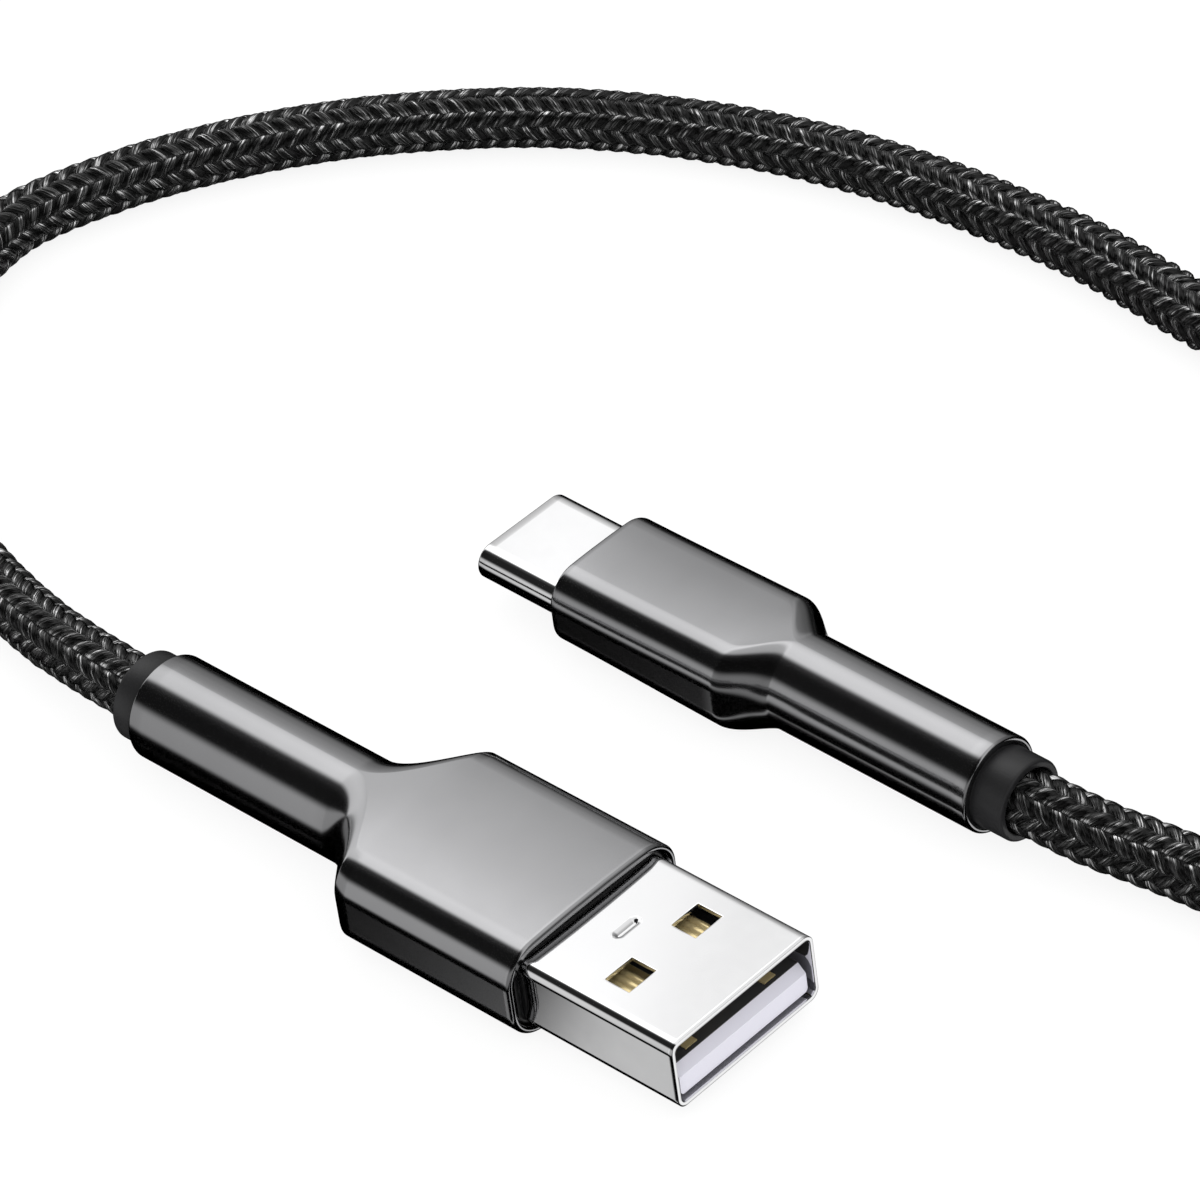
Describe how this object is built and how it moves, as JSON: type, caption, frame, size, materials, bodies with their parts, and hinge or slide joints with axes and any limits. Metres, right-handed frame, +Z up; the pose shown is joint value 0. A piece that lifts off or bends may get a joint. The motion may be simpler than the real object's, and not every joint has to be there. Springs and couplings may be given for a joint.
{
  "type": "charging cable",
  "caption": "Braided charging cable lying in a loose bow: a USB-A plug and a USB-C plug in shouldered metal housings, for charging and data.",
  "frame": {"origin": "middle of the USB-A housing's flat underside, on the surface the cable lies on", "axes": "+X out of the USB-A plug along its axis, +Z up, +Y towards the USB-C plug"},
  "size_m": [0.1654, 0.0912, 0.0098],
  "materials": {
    "black_insulator": "matte",
    "black_mould": "matte",
    "board_green": "solder mask",
    "braid": "nylon braid",
    "core_jacket": "extruded",
    "crimp_metal": "tin plate",
    "gold_contact": "gold plate",
    "grey_collar": "matte moulded elastomer",
    "gunmetal": "electroplated gunmetal, satin gloss",
    "lilac_plastic": "semi-gloss",
    "nickel_shell": "bright nickel plate",
    "resistor_black": "matte",
    "solder": "satin",
    "spring_steel": "rolled",
    "tie_strap": "hook and loop strap",
    "wire_black": "extruded",
    "wire_green": "extruded",
    "wire_red": "extruded",
    "wire_white": "extruded"
  },
  "bodies": {
    "root": {"usb_a_housing": "gunmetal", "usb_a_collar": "grey_collar", "usb_a_front_mould": "black_mould", "usb_a_neck_filler": "black_mould", "usb_a_shell": "nickel_shell", "usb_a_insulator": "lilac_plastic", "usb_a_contact_vbus": "gold_contact", "usb_a_contact_d_minus": "gold_contact", "usb_a_contact_d_plus": "gold_contact", "usb_a_contact_gnd": "gold_contact", "usb_a_solder": "solder", "usb_a_wire_red": "wire_red", "usb_a_wire_white": "wire_white", "usb_a_wire_green": "wire_green", "usb_a_wire_black": "wire_black", "usb_a_cable_core": "core_jacket", "usb_a_crimp_ring": "crimp_metal", "usb_c_housing": "gunmetal", "usb_c_collar": "grey_collar", "usb_c_front_mould": "black_mould", "usb_c_neck_filler": "black_mould", "usb_c_shell": "nickel_shell", "usb_c_insulator": "black_insulator", "usb_c_contacts_top": "gold_contact", "usb_c_contacts_bottom": "gold_contact", "usb_c_side_latches": "spring_steel", "usb_c_pcb": "board_green", "usb_c_resistor": "resistor_black", "usb_c_solder": "solder", "usb_c_wire_red": "wire_red", "usb_c_wire_white": "wire_white", "usb_c_wire_green": "wire_green", "usb_c_wire_black": "wire_black", "usb_c_cable_core": "core_jacket", "usb_c_crimp_ring": "crimp_metal", "cord_lead_a": "braid", "cord_coil": "braid", "cord_lead_c": "braid", "coil_tie": "tie_strap"}
  },
  "joints": []
}
